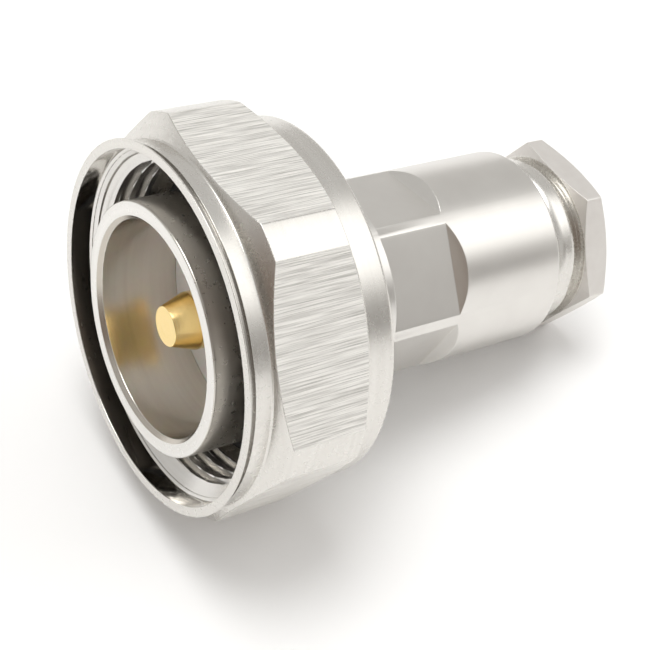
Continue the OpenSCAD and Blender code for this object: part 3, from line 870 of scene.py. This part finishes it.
# flat square grid of points at height 0
def makeTable(look):
    half = 0.5 * look["size"]
    side = look["sidePoints"]
    grid = np.linspace(-half, half, side)
    x, y = np.meshgrid(grid, grid, indexing="ij")
    points = np.stack([x, y, np.zeros_like(x)], axis=-1).reshape(-1, 3)
    corner = (np.arange(side - 1)[:, None] * side + np.arange(side - 1)[None, :]).reshape(-1)
    quads = np.stack([corner, corner + side, corner + side + 1, corner + 1], axis=-1)
    mesh = bpy.data.meshes.new("table")
    mesh.from_pydata(points.tolist(), [], quads.tolist())
    material, tree, shader = startMaterial("tableWhite", {
        "Base Color": (*look["colour"], 1.0), "Emission Color": (1.0, 1.0, 1.0, 1.0),
        "Roughness": look["roughness"], "Specular IOR Level": look["specular"]})
    path = tree.nodes.new("ShaderNodeLightPath")
    seen = addMath(tree, "MAXIMUM", path.outputs["Is Camera Ray"], path.outputs["Is Glossy Ray"])
    seen = addMath(tree, "MAXIMUM", seen, path.outputs["Is Transmission Ray"])
    lift = addMath(tree, "MULTIPLY", seen, look["lift"])
    tree.links.new(lift, shader.inputs["Emission Strength"])
    mesh.materials.append(material)
    table = bpy.data.objects.new("table", mesh)
    bpy.context.scene.collection.objects.link(table)


makeTable(tableLook)

# studio surroundings: a pale tent with two soft lamps and four dark patches for the metal to mirror; a patch
# lies so many degrees round from +X and up from the table, and is full within inner and gone at outer
worldLook = {
    "side": (0.65, 0.637, 0.617),
    "top": (0.54, 0.535, 0.525),
    "heights": (0.3, 0.95),  # where the side begins to change into the top, and ends
    "patches": {
        "mainLamp": {"around": 152, "up": 79, "inner": 7, "outer": 23, "colour": (6.7, 6.7, 6.65)},
        "backLamp": {"around": 68, "up": 37, "inner": 9, "outer": 28, "colour": (1.75, 1.74, 1.71)},
        "darkCard": {"around": 35, "up": 7, "inner": 4, "outer": 17, "colour": (0.32, 0.305, 0.29)},
        "darkWall": {"around": 78, "up": 2, "inner": 8, "outer": 22, "colour": (0.36, 0.345, 0.33)},
        "darkRoom": {"around": -88, "up": 5, "inner": 14, "outer": 30, "colour": (0.22, 0.165, 0.13)},
        "darkDoor": {"around": -46, "up": 33, "inner": 16, "outer": 32, "colour": (0.25, 0.195, 0.16)},
    },
}
# a Mix node's colour sockets share their names with its number sockets, so they go by place
mixPlaces = {"share": 0, "first": 6, "second": 7, "result": 2}


# colour of the tent with one more patch on it: its share grows as the ray turns towards the patch's middle
def addPatch(tree, ray, colour, patch):
    around, up, inner, outer = (math.radians(patch[key]) for key in ("around", "up", "inner", "outer"))
    facing = tree.nodes.new("ShaderNodeVectorMath")
    facing.operation = "DOT_PRODUCT"
    level = math.cos(up)
    facing.inputs[1].default_value = (level * math.cos(around), level * math.sin(around), math.sin(up))
    tree.links.new(ray, facing.inputs[0])
    share = tree.nodes.new("ShaderNodeMapRange")
    share.interpolation_type = "SMOOTHSTEP"
    setSockets(share, {"From Min": math.cos(outer), "From Max": math.cos(inner)})
    tree.links.new(facing.outputs["Value"], share.inputs["Value"])
    mix = tree.nodes.new("ShaderNodeMix")
    mix.data_type = "RGBA"
    tree.links.new(share.outputs["Result"], mix.inputs[mixPlaces["share"]])
    tree.links.new(colour, mix.inputs[mixPlaces["first"]])
    mix.inputs[mixPlaces["second"]].default_value = (*patch["colour"], 1.0)
    return mix.outputs[mixPlaces["result"]]


def makeWorld(look):
    world = bpy.data.worlds.new("studio")
    bpy.context.scene.world = world
    world.use_nodes = True
    tree = world.node_tree
    source = tree.nodes.new("ShaderNodeTexCoord")
    split = tree.nodes.new("ShaderNodeSeparateXYZ")
    tree.links.new(source.outputs["Generated"], split.inputs[0])
    colour = addRamp(tree, split.outputs["Z"], look["heights"], (look["side"], look["top"]))
    for patch in look["patches"].values():
        colour = addPatch(tree, source.outputs["Generated"], colour, patch)
    tree.links.new(colour, tree.nodes["Background"].inputs["Color"])


makeWorld(worldLook)

# camera at the photograph's place, in the plug's own axes: to the right, to the top and to the back
cameraLook = {
    "place": (75.17, 82.375, -50.384), "forward": (-0.5595, -0.65002, 0.51419),
    "upright": (0.0, 0.96908, -0.24675), "lens": 81.54, "sensor": 36.0, "clipStart": 5.0,
}


def makeCamera(look):
    axes = np.stack([rightDir, topDir, backDir])
    forward = Vector(look["forward"] @ axes).normalized()
    side = forward.cross(Vector(look["upright"] @ axes)).normalized()
    data = bpy.data.cameras.new("camera")
    data.lens = look["lens"]
    data.sensor_width = look["sensor"]
    data.clip_start = plugAxes["mm"] * look["clipStart"]
    camera = bpy.data.objects.new("camera", data)
    camera.rotation_euler = Matrix((side, side.cross(forward), -forward)).transposed().to_euler()
    camera.location = frontCentre + plugAxes["mm"] * (look["place"] @ axes)
    bpy.context.scene.collection.objects.link(camera)
    bpy.context.scene.camera = camera


makeCamera(cameraLook)
bpy.context.scene.view_settings.view_transform = "Standard"
print("table, studio and camera made")
